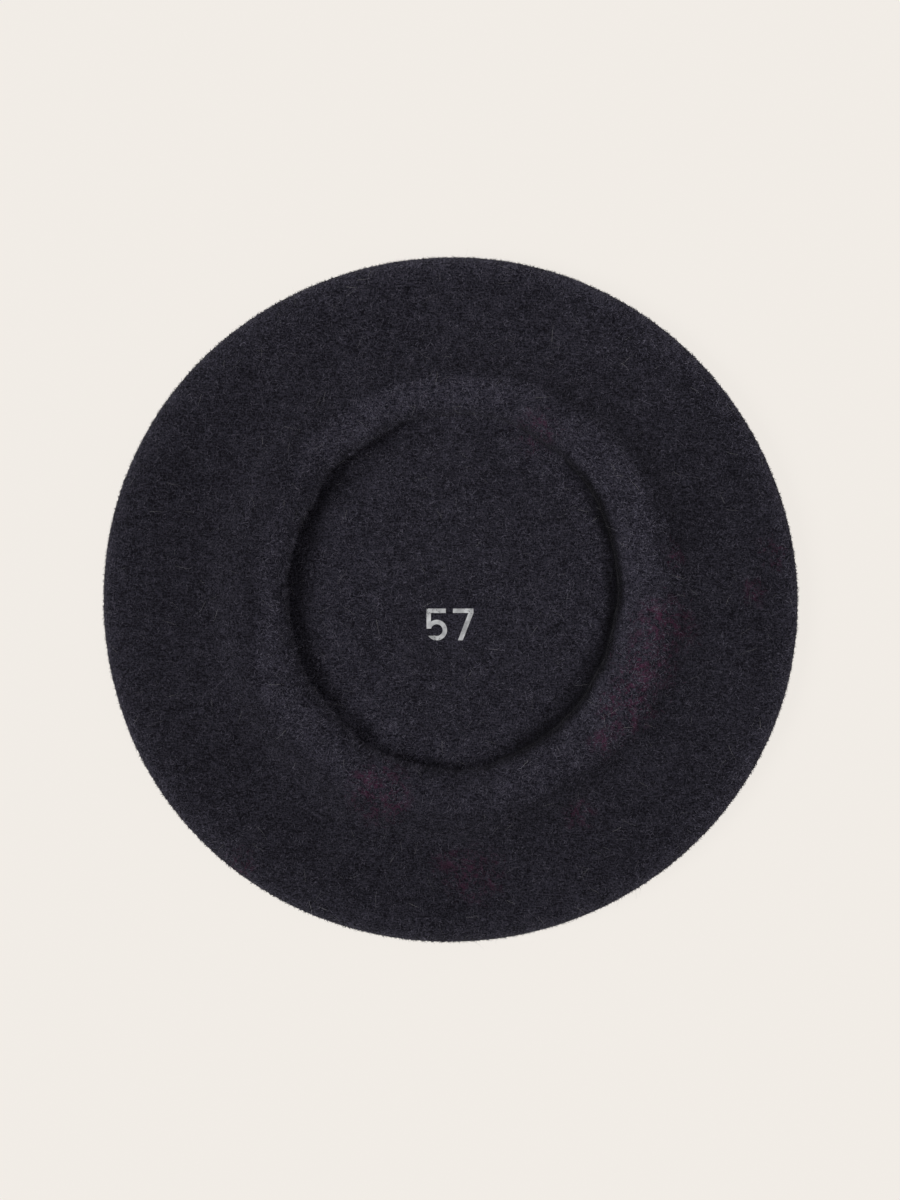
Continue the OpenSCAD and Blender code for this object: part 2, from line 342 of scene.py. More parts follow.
class Slice:
    # one upright cut through the felt, from the crown's middle out round the rim and in to the hem
    def __init__(self, a):
        self.a = a
        self.rim = rimAt(a)
        brim = self.rim - edgeAt(a)
        self.reach = brim.length
        self.crownDir = self.rim.normalized()
        self.brimDir = brim.normalized()
        crest, stepDrop, hollow, self.rub, self.rubEnd, self.crease, self.besideLight = lipAt(a)[1:]
        self.knots = [
            (lipStops[0], crest),
            (lipStops[1], crest - stepDrop),
            (lipStops[2], hollow),
            (lipStops[3], hollow + 0.35 * (shoulderZ - hollow)),
            (self.reach - beret["foldIn"], shoulderZ),
        ]

    def slopeAt(self, d):
        step = 0.01
        return (brimZ(self.knots, d - step) - brimZ(self.knots, d + step)) / (2 * step)

    def under(self, d, depth):
        # a point this deep under the brim's middle layer
        slope = self.slopeAt(d)
        tilt = math.hypot(1, slope)
        return self.reach - d + slope / tilt * depth, brimZ(self.knots, d) - depth / tilt

    def place(self, kind, x, z):
        q = self.rim - x * (self.crownDir if kind == "crown" else self.brimDir)
        return Vector((q.x, q.y, z))

    def line(self):
        # the felt's middle layer: part of the felt, x in from the rim, z
        half = beret["felt"] / 2
        size = self.rim.length
        found = []
        for r in (3, 8, 15, 22, 28, 34, 40, 45, 50, 54, 58, 62, 66, 70, 74, 80, 90, 104):
            found.append(("crown", size - r, half + liftAt(r)))
        for i in range(8):
            t = math.pi / 2 * i / 7
            x = beret["crownTurn"] - (beret["crownTurn"] - half) * math.sin(t)
            found.append(("crown", x, half + (beret["rimZ"] - half) * (1 - math.cos(t))))
        for i in range(1, 8):
            t = math.pi / 2 * i / 7
            x = half + (beret["foldIn"] - half) * (1 - math.cos(t))
            found.append(("top", x, beret["rimZ"] + beret["rimRise"] * math.sin(t)))
        outside = spaced(self.reach - beret["foldIn"], lipStops[3], 7)
        lip = spaced(lipStops[3], lipStops[2], 5) + spaced(lipStops[2], lipStops[0], 7)
        edge = spaced(lipStops[0], beret["foldStart"], 9)
        for d in outside + lip + edge:
            found.append(("top", self.reach - d, brimZ(self.knots, d)))
        midX, midZ = self.under(beret["foldStart"], foldRadius)
        for i in range(1, 8):
            t = lipSlope + math.pi * i / 7
            found.append(("fold", midX + foldRadius * math.sin(t), midZ + foldRadius * math.cos(t)))
        for d in spaced(beret["foldStart"], beret["hem"], 5):
            found.append(("hem", *self.under(d, 2 * foldRadius)))
        return found

    def faces(self):
        # outer face, rounded raw edge, then inner face: part, whether outer, point in space
        line = self.line()
        half = beret["felt"] / 2
        sides = []
        for i in range(len(line)):
            p = line[max(i - 1, 0)]
            q = line[min(i + 1, len(line) - 1)]
            dx = q[1] - p[1]
            dz = q[2] - p[2]
            size = math.hypot(dx, dz)
            sides.append((-dz / size, dx / size))
        found = []
        for (k, x, z), s in zip(line, sides):
            found.append((k, True, self.place(k, x + s[0] * half, z + s[1] * half)))
        k, x, z = line[-1]
        out = sides[-1]
        ahead = (out[1], -out[0])
        for t in (math.radians(60), math.radians(120)):
            c = math.cos(t)
            s = math.sin(t)
            edgeX = x + (c * out[0] + s * ahead[0]) * half
            edgeZ = z + (c * out[1] + s * ahead[1]) * half
            found.append((k, True, self.place(k, edgeX, edgeZ)))
        for (k, x, z), s in reversed(list(zip(line, sides))):
            found.append((k, False, self.place(k, x - s[0] * half, z - s[1] * half)))
        return found


cuts = [Slice(2 * math.pi * turn / beret["turns"]) for turn in range(beret["turns"])]


def turnOf(v):
    # which of the cuts a spun vertex belongs to
    return round(math.atan2(v.co.y, v.co.x) / (2 * math.pi) * beret["turns"]) % beret["turns"]


def ripple(p):
    # slow waves and small dents of soft felt, less where it lies on the table or under the print
    wave = 0.55 * noise.noise(Vector((p.x / 36, p.y / 36, 3.7)))
    dent = 0.40 * noise.noise(Vector((p.x / 14, p.y / 14, 9.1)))
    grain = 0.16 * noise.noise(Vector((p.x / 5, p.y / 5, 5.3)))
    r = math.hypot(p.x, p.y - beret["openingShift"])
    turn = math.degrees(math.atan2(p.y - beret["openingShift"], p.x))
    gather = ease((r - 58) / 14) * ease((98 - r) / 16) * ease((turn - 46) / 22) * ease((124 - turn) / 22)
    pleat = 0.8 * gather * noise.noise(Vector((turn / 6, 0.4 * r / 13, 1.9)))
    held = ease((p.z - 0.4) / 2.5) * ease((math.hypot(p.x, p.y + 10) - 14) / 12)
    if p.y < -60 and r < 98:
        held *= 0.25 + 0.75 * ease((abs(p.x) - 14) / 8)    # the care label lies there
    return (wave + dent + grain) * held + pleat


def feltToneAndLight(part, outer, cut, p):
    # the wool's tone with painted light and shade laid on it: 0.5 on the brim, a painted highlight on the
    # lip's band, the brim's front and towards the rim, painted shade in the crease and the fold, and paler
    # towards the crown's middle
    r = math.hypot(p.x, p.y)
    d = r - edgeAt(cut.a).length
    ragged = d + 1.0 * noise.noise(Vector((p.x / 8, p.y / 8, 4.2)))
    if part == "crown" and not outer:
        # painted shade in the crease under the lip, reaching this far onto the crown; where its weight is
        # below 0 the crease is painted lighter
        reach = 4.6 + 3.0 * ease(2 * math.cos(cut.a + 0.8) - 1)
        middle = 1.17 - 0.14 * ease((r - 60) / 12)
        # painted light and shade on the crown beside the lip: lighter on some sides, darker on others
        besideLight = 1 + (cut.besideLight - 1) * ease((d + 16) / 8)
        crease = 1 - cut.crease * ease((ragged + reach) / (reach - 1.2))
        return 0.5 * middle * besideLight * crease
    # painted sheen: a highlight towards the rim, strongest on the right, away from the key light
    facing = ease((math.cos(cut.a - 0.35) + 0.35) / 1.35)
    inset = cut.rim.length - r
    rim = 1 + (0.12 + 0.55 * facing) * ease((13 - inset) / 13)
    rim += (0.25 + 0.45 * facing) * ease((4.5 - inset) / 4.5)
    rim *= 0.965
    if part == "top":
        # painted highlight on the lip's band, out to where it fades
        band = ease((d - 0.4) / 4.4) * ease((cut.rubEnd - d) / 6 + 0.5) * (0.88 + 0.014 * d)
        # painted light on the brim towards the front
        front = 0.14 * ease((math.sin(cut.a) - 0.5) / 0.4) * ease((d - 16) / 10)
        # painted shade where the lip's top runs down into the crease
        return 0.5 * rim * (1 + front + cut.rub * band) * (1 - cut.crease * ease((3.6 - ragged) / 3))
    # painted shade in the fold under the lip's edge
    if part == "fold":
        return 0.5 * (1 - cut.crease) ** 1.3
    return 0.5 * rim if part == "crown" else 0.5


# where red hairs of another batch got fulled in: x, y, half width
redSpots = (
    (87, -11, 11), (79, -28, 11), (72, -44, 10), (62, -58, 5), (-28, -78, 11), (-34, -73, 5), (10, -112, 10),
    (-1, -107, 5), (53, -87, 5), (91, 18, 4), (35, 69, 7), (-85, -107, 5), (131, 20, 5), (124, 4, 4),
)


def redAt(p):
    near = 0
    for x, y, size in redSpots:
        near = max(near, ease(1.5 - math.hypot(p.x - x, p.y - y) / size))
    return near


brimQuarters = ("frontRight", "frontLeft", "backRight", "backLeft")
napLayers = (*brimQuarters, "napInside", "napUnder", "napLip", "redWool")


def napAmounts(part, outer, p, cut):
    # how thick the nap grows: on each quarter of the brim, inside the crown, under it, on the lip's edge
    r = math.hypot(p.x, p.y)
    d = r - edgeAt(cut.a).length
    right = ease(0.5 + p.x / 2)
    front = ease(0.5 + p.y / 2)
    quarters = (right * front, (1 - right) * front, right * (1 - front), (1 - right) * (1 - front))
    bare = (0, 0, 0, 0)
    red = redAt(p)
    if part == "top":
        return *quarters, 0, 0, ease((3.5 - d) / 3) * (1 - 0.5 * max(0, cut.crease)), red
    if part == "fold" and outer:
        return *(0.5 * q for q in quarters), 0, 0, 1 - 0.5 * max(0, cut.crease), 0
    if part == "crown" and not outer:
        printed = ease((13 - abs(p.x)) / 2) * ease((9 - abs(p.y + 10)) / 2)
        return *bare, ease((5 - d) / 4) * (1 - printed), 0, 0, red
    if part == "crown" and p.z > 3.5:
        return *quarters, 0, 0, 0, red
    if part == "crown":
        return *bare, 0, 1, 0, 0
    return *bare, 0, 0, 0, 0


def makeFelt():
    bm = bmesh.new()
    station = bm.verts.layers.int.new("station")
    tones = bm.verts.layers.float.new("feltToneAndLight")
    naps = [bm.verts.layers.float.new(name) for name in napLayers]
    faces = [cut.faces() for cut in cuts]
    low = Vector((0, 0, liftAt(0)))
    high = Vector((0, 0, liftAt(0) + beret["felt"]))
    wire = []
    for i, p in enumerate([low] + [found[2] for found in faces[0]] + [high]):
        v = bm.verts.new((p.x, 0, p.z))
        v[station] = i
        wire.append(v)
    edges = [bm.edges.new(pair) for pair in zip(wire, wire[1:])]
    spinRound(bm, wire + edges, (0, 0, 1), beret["turns"], beret["merge"])
    for v in bm.verts:
        v[tones] = 0.5
        if 0 < v[station] <= len(faces[0]):
            turn = turnOf(v)
            part, outer, p = faces[turn][v[station] - 1]
            v.co = p
            v[tones] = feltToneAndLight(part, outer, cuts[turn], p)
            for layer, amount in zip(naps, napAmounts(part, outer, p, cuts[turn])):
                v[layer] = amount
        v.co.z = max(v.co.z + ripple(v.co), beret["tableGap"])
    shell = toObject(bm, "felt_shell")
    subdivide(shell, 1)
    return shell


# wool colours and grain, shared by the felt and its tail
wool = {
    "dark": (0.0042, 0.0039, 0.0063, 1),
    "light": (0.0345, 0.0324, 0.0464, 1),
    "red": (0.052, 0.016, 0.036, 1),
    "sheen": (0.55, 0.54, 0.62, 1),
    "grain": 1450.0,
    "laid": 0.9,              # how much the laid fibres show
    "patches": ((170.0, 0.22), (45.0, 0.11)),
    "dullness": (1.0, 0.8),    # how rough the low and the high spots are
    "bump": (0.7, 0.5),        # how strong, and how many millimetres
}


def woolGroup():
    tree = bpy.data.node_groups.new("woolGrain", "ShaderNodeTree")
    for name, kind, value in (
        ("ToneAndLight", "NodeSocketFloat", 0.5), ("Grain", "NodeSocketFloat", wool["grain"]),
        ("Dark", "NodeSocketColor", wool["dark"]), ("Light", "NodeSocketColor", wool["light"]),
        ("Red", "NodeSocketColor", wool["red"]),
    ):
        tree.interface.new_socket(name, in_out="INPUT", socket_type=kind).default_value = value
    tree.interface.new_socket("Color", in_out="OUTPUT", socket_type="NodeSocketColor")
    tree.interface.new_socket("Height", in_out="OUTPUT", socket_type="NodeSocketFloat")
    start = node(tree, "NodeGroupInput").outputs
    spot = node(tree, "ShaderNodeTexCoord").outputs["Object"]
    fine = node(tree, "ShaderNodeTexNoise", {
        "Vector": spot, "Scale": start["Grain"], "Detail": 1.5, "Roughness": 0.6,
    })
    # laid fibres: the same grain drawn out along three directions, the strongest one showing
    streaks = []
    for turn, squeeze in ((0.4, 0.16), (1.6, 0.2), (2.7, 0.16)):
        drawn = node(tree, "ShaderNodeMapping", {
            "Vector": spot, "Rotation": (0.0, 0.0, turn), "Scale": (squeeze, 1.0, 1.0),
        })
        streak = node(tree, "ShaderNodeTexNoise", {
            "Vector": drawn.outputs["Vector"], "Scale": wool["grain"] * 1.4, "Detail": 2.0,
        })
        streaks.append(streak.outputs["Fac"])
    laid = maths(tree, "MAXIMUM", maths(tree, "MAXIMUM", *streaks[:2]), streaks[2])
    total = maths(tree, "MULTIPLY_ADD", laid, wool["laid"], fine.outputs["Fac"])
    for scale, weight in wool["patches"]:
        patch = node(tree, "ShaderNodeTexNoise", {"Vector": spot, "Scale": scale, "Detail": 2.0})
        total = maths(tree, "MULTIPLY_ADD", patch.outputs["Fac"], weight, total)
    height = ranged(tree, total, fromMin=1.03, fromMax=1.36)
    shade = blended(tree, height, start["Dark"], start["Light"])
    # thin veins of red wool where some was fulled in
    drift = node(tree, "ShaderNodeTexNoise", {
        "Vector": spot, "Scale": 300.0, "Detail": 3.0, "Roughness": 0.65,
    })
    veins = ranged(tree, drift.outputs["Fac"], fromMin=0.5, fromMax=0.62, toMax=0.75)
    patches = node(tree, "ShaderNodeAttribute", attribute_name="redWool")
    reddened = maths(tree, "MULTIPLY", veins, patches.outputs["Fac"])
    warmed = blended(tree, reddened, shade, start["Red"])
    toned = node(tree, "ShaderNodeVectorMath", {
        0: warmed, "Scale": maths(tree, "MULTIPLY", start["ToneAndLight"], 2.0),
    }, operation="SCALE")
    node(tree, "NodeGroupOutput", {"Color": toned.outputs[0], "Height": height})
    return tree


woolGrain = woolGroup()


def feltMaterial(name, grain):
    material, tree, shader = newMaterial(name, {
        "Specular IOR Level": 0.07, "Sheen Weight": 0.11, "Sheen Roughness": 0.5,
        "Sheen Tint": wool["sheen"],
    })
    # the tone attribute carries the painted light and shade as well as the wool's tone
    tone = node(tree, "ShaderNodeAttribute", attribute_name="feltToneAndLight")
    hair = node(tree, "ShaderNodeGroup", node_tree=woolGrain)
    hair.inputs["Grain"].default_value = grain
    feed(tree, hair.inputs["ToneAndLight"], tone.outputs["Fac"])
    feed(tree, shader.inputs["Base Color"], hair.outputs["Color"])
    relief(tree, shader, hair.outputs["Height"], wool)
    return material


feltWool = feltMaterial("fulledWool", wool["grain"])
feltShell = makeFelt()
feltShell.data.materials.append(feltWool)
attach(feltShell, "hat")
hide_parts("felt_body")
print("felt shell is made")


# the nap: short tapered tufts that lie on the felt
nap = {
    "length": (0.7, 1.9),
    "radius": (0.09, 0.18),
    "lean": (50, 82),        # degrees from standing straight up
    "perSquare": 1.7,        # tufts on a square millimetre
    "flecks": 2.2,           # the higher, the fewer pale ones
}
# the lip's edge is rubbed up more
fringe = {
    "length": (0.8, 2.2),
    "radius": (0.08, 0.15),
    "lean": (15, 75),
    "perSquare": 2.0,
    "flecks": 2.8,
}
# thin curved wisps, paler than the nap
wisps = {
    "length": (3.0, 8.0),
    "radius": (0.04, 0.06),
    "lean": (66, 88),
    "perSquare": 0.0045,
    "flecks": 0.8,
}
redHair = {
    "length": (1.0, 3.0),
    "radius": (0.05, 0.10),
    "lean": (62, 86),
    "perSquare": 0.5,
    "flecks": 1.5,
}


def randomBetween(tree, low, high, seed):
    made = node(tree, "FunctionNodeRandomValue", {"Seed": seed, 2: low, 3: high}, data_type="FLOAT")
    return made.outputs[1]


def keep(tree, geometry, name, kind, value, domain="POINT"):
    made = node(
        tree, "GeometryNodeStoreNamedAttribute",
        {"Name": name, "Geometry": geometry, "Value": value}, data_type=kind, domain=domain)
    return made.outputs["Geometry"]


def readBack(tree, name):
    return node(tree, "GeometryNodeInputNamedAttribute", {"Name": name}, data_type="FLOAT").outputs[0]


def hairScatter(name, hair, amountName, perSquare, seed, bends):
    tree = bpy.data.node_groups.new(name, "GeometryNodeTree")
    tree.interface.new_socket("Geometry", in_out="INPUT", socket_type="NodeSocketGeometry")
    tree.interface.new_socket("Geometry", in_out="OUTPUT", socket_type="NodeSocketGeometry")
    start = node(tree, "NodeGroupInput")
    # where hairs grow: thicker and thinner in clumps
    clumps = node(tree, "ShaderNodeTexNoise", {"Scale": 240.0, "Detail": 2.0}).outputs["Fac"]
    clumped = ranged(tree, clumps, fromMin=0.3, fromMax=0.7, toMin=0.55, toMax=1.45)
    density = maths(tree, "MULTIPLY", readBack(tree, amountName), clumped)
    spread = node(tree, "GeometryNodeDistributePointsOnFaces", {
        "Mesh": start.outputs["Geometry"], "Seed": seed,
        "Density": maths(tree, "MULTIPLY", density, perSquare * 1e6),
    }, distribute_method="RANDOM")
    # how each one lies
    low, high = hair["lean"]
    angles = node(tree, "ShaderNodeCombineXYZ", {
        "Y": randomBetween(tree, math.radians(low), math.radians(high), seed + 1),
        "Z": randomBetween(tree, 0, 2 * math.pi, seed + 2),
    })
    turned = node(tree, "FunctionNodeEulerToRotation", {0: angles.outputs[0]})
    laid = node(tree, "FunctionNodeRotateRotation", {
        "Rotation": spread.outputs["Rotation"], "Rotate By": turned.outputs[0],
    }, rotation_space="LOCAL")
    low, high = hair["radius"]
    width = randomBetween(tree, low * mm, high * mm, seed + 3)
    low, high = hair["length"]
    length = randomBetween(tree, low * mm, high * mm, seed + 4)
    size = node(tree, "ShaderNodeCombineXYZ", {"X": width, "Y": width, "Z": length})
    # its own tone: the felt's under it, painted light and shade with it, times a chance of being pale
    fleck = maths(tree, "POWER", randomBetween(tree, 0, 1, seed + 5), hair["flecks"])
    clump = maths(tree, "MULTIPLY_ADD", clumps, 0.9, -0.2)
    share = maths(tree, "MULTIPLY_ADD", fleck, 0.75, clump)
    shade = maths(tree, "MULTIPLY", share, readBack(tree, "feltToneAndLight"))
    points = keep(tree, spread.outputs["Points"], "shade", "FLOAT", shade)
    # one hair, a unit long
    cone = node(
        tree, "GeometryNodeMeshCone",
        {"Vertices": 3, "Side Segments": bends, "Radius Top": 0.0, "Radius Bottom": 1.0, "Depth": 1.0},
        fill_type="NGON")
    place = node(tree, "GeometryNodeInputPosition").outputs[0]
    parts = node(tree, "ShaderNodeSeparateXYZ", {0: place}).outputs
    one = keep(tree, cone.outputs["Mesh"], "along", "FLOAT", parts["Z"])
    one = keep(tree, one, "across", "FLOAT", parts["X"])
    planted = node(tree, "GeometryNodeInstanceOnPoints", {
        "Points": points, "Instance": one, "Rotation": laid.outputs[0], "Scale": size.outputs[0],
    })
    real = node(tree, "GeometryNodeRealizeInstances", {"Geometry": planted.outputs["Instances"]})
    grown = real.outputs["Geometry"]
    if bends > 1:
        # curls each wisp a little, by where it lies
        swirl = node(tree, "ShaderNodeTexNoise", {"Scale": 210.0, "Detail": 0.0}).outputs["Color"]
        centred = node(tree, "ShaderNodeVectorMath", {0: swirl, 1: (0.5, 0.5, 0.42)}, operation="SUBTRACT")
        reach = maths(tree, "MULTIPLY", maths(tree, "POWER", readBack(tree, "along"), 1.5), 3.6 * mm)
        curl = node(tree, "ShaderNodeVectorMath", {0: centred.outputs[0], "Scale": reach}, operation="SCALE")
        moved = node(tree, "GeometryNodeSetPosition", {"Geometry": grown, "Offset": curl.outputs[0]})
        grown = moved.outputs["Geometry"]
    # nothing grows through the table
    above = maths(tree, "MAXIMUM", parts["Z"], 0.04 * mm)
    lifted = node(tree, "ShaderNodeCombineXYZ", {"X": parts["X"], "Y": parts["Y"], "Z": above})
    cleared = node(tree, "GeometryNodeSetPosition", {"Geometry": grown, "Position": lifted.outputs[0]})
    # a map for the baked colours: tone one way, root to tip the other
    sideways = maths(tree, "MULTIPLY_ADD", readBack(tree, "across"), 0.003, readBack(tree, "shade"))
    mapped = node(tree, "ShaderNodeCombineXYZ", {"X": sideways, "Y": readBack(tree, "along")})
    grown = keep(tree, cleared.outputs["Geometry"], "OFBake", "FLOAT2", mapped.outputs[0], "CORNER")
    node(tree, "NodeGroupOutput", {"Geometry": grown})
    return tree


def growHair(name, ground, body, hair, amountName, seed, material, thick=1.0, bends=1):
    depsgraph = bpy.context.evaluated_depsgraph_get()
    soil = bpy.data.meshes.new_from_object(ground.evaluated_get(depsgraph))
    grown = bpy.data.objects.new(name, soil)
    scene.collection.objects.link(grown)
    scatter = grown.modifiers.new("scatter", "NODES")
    scatter.node_group = hairScatter(name, hair, amountName, hair["perSquare"] * thick, seed, bends)
    depsgraph = bpy.context.evaluated_depsgraph_get()
    mesh = bpy.data.meshes.new_from_object(grown.evaluated_get(depsgraph))
    grown.modifiers.clear()
    grown.data = mesh
    bpy.data.meshes.remove(soil)
    mesh.name = name
    for extra in ("across", "feltToneAndLight", "station", *napLayers):
        if extra in mesh.attributes:
            mesh.attributes.remove(mesh.attributes[extra])
    mesh.materials.clear()
    mesh.materials.append(material)
    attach(grown, body)
    print(name + ":", len(mesh.polygons), "faces")


# each hair's colours: where it is darkest, usual and palest
hairColors = {
    "tuftWool": ((0.0035, 0.0032, 0.0053, 1), (0.022, 0.0207, 0.0297, 1), (0.15, 0.141, 0.186, 1)),
    "wispWool": ((0.06, 0.057, 0.068, 1), (0.15, 0.145, 0.16, 1), (0.36, 0.35, 0.36, 1)),
    "redWool": ((0.03, 0.007, 0.018, 1), (0.06, 0.014, 0.036, 1), (0.12, 0.04, 0.085, 1)),
}


def hairMaterial(name):
    material, tree, shader = newMaterial(name, {
        "Specular IOR Level": 0.12, "Sheen Weight": 0.08, "Sheen Roughness": 0.5,
        "Sheen Tint": wool["sheen"],
    })
    dark, usual, pale = hairColors[name]
    shade = node(tree, "ShaderNodeAttribute", attribute_name="shade").outputs["Fac"]
    along = node(tree, "ShaderNodeAttribute", attribute_name="along").outputs["Fac"]
    ramp = node(tree, "ShaderNodeValToRGB", {"Fac": shade})
    stops = ramp.color_ramp.elements
    stops[0].position = 0.05
    stops[0].color = dark
    stops[1].position = 0.62
    stops[1].color = pale
    stops.new(0.24).color = usual
    # painted shade at each hair's root, paler towards its tip, which is smoother too
    tip = ranged(tree, along, toMin=0.6, toMax=1.15)
    lit = node(tree, "ShaderNodeVectorMath", {0: ramp.outputs["Color"], "Scale": tip}, operation="SCALE")
    feed(tree, shader.inputs["Base Color"], lit.outputs[0])
    feed(tree, shader.inputs["Roughness"], ranged(tree, along, toMin=0.95, toMax=0.7))
    return material


tuftWool = hairMaterial("tuftWool")
wispWool = hairMaterial("wispWool")
redWool = hairMaterial("redWool")
for i, quarter in enumerate(brimQuarters):
    side = quarter.replace("Right", "_right").replace("Left", "_left")
    growHair("nap_brim_" + side, feltShell, "hat", nap, quarter, 100 + 20 * i, tuftWool)
    growHair("wisps_brim_" + side, feltShell, "hat", wisps, quarter, 200 + 20 * i, wispWool, bends=5)
growHair("nap_crown_inside", feltShell, "hat", nap, "napInside", 300, tuftWool)
growHair("nap_crown_outside", feltShell, "hat", nap, "napUnder", 320, tuftWool, 0.45)
growHair("nap_lip_edge", feltShell, "hat", fringe, "napLip", 340, tuftWool)
growHair("wisps_crown_inside", feltShell, "hat", wisps, "napInside", 380, wispWool, bends=5)
growHair("red_hairs", feltShell, "hat", redHair, "redWool", 360, redWool)
print("nap is grown")


# the elastic between the hem's two layers
elastic = {
    "width": 10.0,
    "thick": 0.8,
    "fromFold": 1.0,
    "pucker": 0.12,
    "ribs": 900.0,       # warp cords counted round the band
    "rowPitch": 1.1,
    "pale": (0.055, 0.055, 0.07, 1),
    "dark": (0.012, 0.012, 0.017, 1),
    "dullness": (0.85, 0.6),
    "bump": (0.6, 0.25),
}


def makeElastic():
    bm = bmesh.new()
    station = bm.verts.layers.int.new("station")
    half = elastic["thick"] / 2
    start = beret["foldStart"] + elastic["fromFold"]
    width = elastic["width"]
    # the section: distance from the opening's edge, height over the band's middle
    section = [(start + width * i / 8, half) for i in range(9)]
    section += [(start + width + 0.25, 0.0)]
    section += [(start + width * i / 8, -half) for i in reversed(range(9))]
    section += [(start - 0.25, 0.0)]
    ring = []
    for i, (d, h) in enumerate(section):
        v = bm.verts.new((beret["openingX"] + d, 0, 10 + h))
        v[station] = i
        ring.append(v)
    edges = [bm.edges.new((v, w)) for v, w in zip(ring, ring[1:] + ring[:1])]
    spinRound(bm, ring + edges, (0, 0, 1), beret["turns"], beret["merge"])
    for v in bm.verts:
        turn = turnOf(v)
        d, h = section[v[station]]
        pucker = elastic["pucker"] * math.sin(turn * 2 * math.pi / 4)
        x, z = cuts[turn].under(d, foldRadius - h)
        v.co = cuts[turn].place("hem", x, z)
        v.co.z += ripple(v.co) + pucker * (1 if abs(h) > 0 else 0.5)
    return toObject(bm, "elastic_band")


def elasticMaterial():
    material, tree, shader = newMaterial("wovenElastic", {"Sheen Weight": 0.1})
    spot = node(tree, "ShaderNodeTexCoord").outputs["Object"]
    parts = node(tree, "ShaderNodeSeparateXYZ", {0: spot}).outputs
    angle = maths(tree, "ARCTAN2", parts["Y"], parts["X"])
    cords = maths(tree, "SINE", maths(tree, "MULTIPLY", angle, elastic["ribs"]))
    flat = node(tree, "ShaderNodeCombineXYZ", {"X": parts["X"], "Y": parts["Y"]})
    spread = node(tree, "ShaderNodeVectorMath", {0: flat.outputs[0]}, operation="LENGTH").outputs["Value"]
    rowTurns = 2 * math.pi / (elastic["rowPitch"] * mm)
    rows = maths(tree, "SINE", maths(tree, "MULTIPLY", spread, rowTurns))
    weave = maths(tree, "MULTIPLY_ADD", maths(tree, "MULTIPLY", cords, rows), 0.5, 0.5)
    lint = node(tree, "ShaderNodeTexNoise", {"Vector": spot, "Scale": 900.0, "Detail": 3.0})
    height = maths(tree, "MULTIPLY_ADD", lint.outputs["Fac"], 0.5, weave)
    share = maths(tree, "MULTIPLY", height, 0.6)
    feed(tree, shader.inputs["Base Color"], blended(tree, share, elastic["dark"], elastic["pale"]))
    relief(tree, shader, height, elastic)
    return material


elasticBand = makeElastic()
elasticBand.data.materials.append(elasticMaterial())
subdivide(elasticBand, 1)
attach(elasticBand, "hat")
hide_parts("hem_elastic")
print("elastic is made")


# the overcast thread that holds the hem's raw edge
overcast = {
    "thread": 0.6,
    "pitch": 7.0,
    "lean": math.radians(18),
    "radius": 2.0,
    "wrap": math.radians(190),
    "raised": 0.45,      # its upper end goes up into the brim
    "freeHalf": 15.05,   # no loops this far either side of the label's middle
    "pale": (0.075, 0.074, 0.095, 1),
    "dark": (0.010, 0.010, 0.014, 1),
    "dullness": (0.75, 0.5),
    "bump": (0.5, 0.1),
}


def makeOvercast():
    bm = bmesh.new()
    around = math.pi * (beret["openingX"] + beret["openingY"] + 2 * beret["hem"])
    count = int(around / overcast["pitch"])
    for i in range(count):
        cut = Slice(2 * math.pi * (i + 0.5) / count)
        x, z = cut.under(beret["hem"] + 1.2, 2 * foldRadius)
        spot = cut.place("hem", x, z)
        if spot.y < 0 and abs(spot.x) < overcast["freeHalf"]:
            continue
        spot.z += ripple(spot) + overcast["raised"]
        ring = bmesh.ops.create_circle(bm, segments=6, radius=overcast["thread"] / 2)["verts"]
        # the ring stands below the loop's middle and is swung up round its far side
        bmesh.ops.rotate(bm, verts=ring, cent=(0, 0, 0), matrix=Matrix.Rotation(math.pi / 2, 3, "Y"))
        bmesh.ops.translate(bm, verts=ring, vec=(0, 0, -overcast["radius"]))
        before = set(bm.verts) - set(ring)
        edges = list({e for v in ring for e in v.link_edges})
        bmesh.ops.holes_fill(bm, edges=edges, sides=0)
        bmesh.ops.spin(
            bm, geom=ring + edges, cent=(0, 0, 0), axis=(0, -1, 0), dvec=(0, 0, 0),
            angle=overcast["wrap"], steps=9, use_merge=False, use_duplicate=False)
        loop = [v for v in bm.verts if v not in before]
        openEdges = [e for v in loop for e in v.link_edges if e.is_boundary]
        bmesh.ops.holes_fill(bm, edges=list(set(openEdges)), sides=0)
        heading = math.atan2(cut.brimDir.y, cut.brimDir.x)
        tilt = math.atan(cut.slopeAt(beret["hem"]))
        turn = (Matrix.Rotation(heading, 3, "Z") @ Matrix.Rotation(overcast["lean"], 3, "X")
                @ Matrix.Rotation(tilt, 3, "Y"))
        bmesh.ops.rotate(bm, verts=loop, cent=(0, 0, 0), matrix=turn)
        bmesh.ops.translate(bm, verts=loop, vec=spot)
    return toObject(bm, "overcast_thread")


def threadMaterial(name, twist):
    material, tree, shader = newMaterial(name, {"Sheen Weight": 0.15})
    spot = node(tree, "ShaderNodeTexCoord").outputs["Object"]
    ply = node(tree, "ShaderNodeTexWave", {
        "Vector": spot, "Scale": twist, "Distortion": 0.6, "Detail": 1.0,
    }, bands_direction="DIAGONAL")
    lint = node(tree, "ShaderNodeTexNoise", {"Vector": spot, "Scale": 2600.0, "Detail": 2.0})
    height = maths(tree, "MULTIPLY_ADD", lint.outputs["Fac"], 0.5, ply.outputs["Fac"])
    share = maths(tree, "MULTIPLY", height, 0.66)
    feed(tree, shader.inputs["Base Color"], blended(tree, share, overcast["dark"], overcast["pale"]))
    relief(tree, shader, height, overcast)
    return material


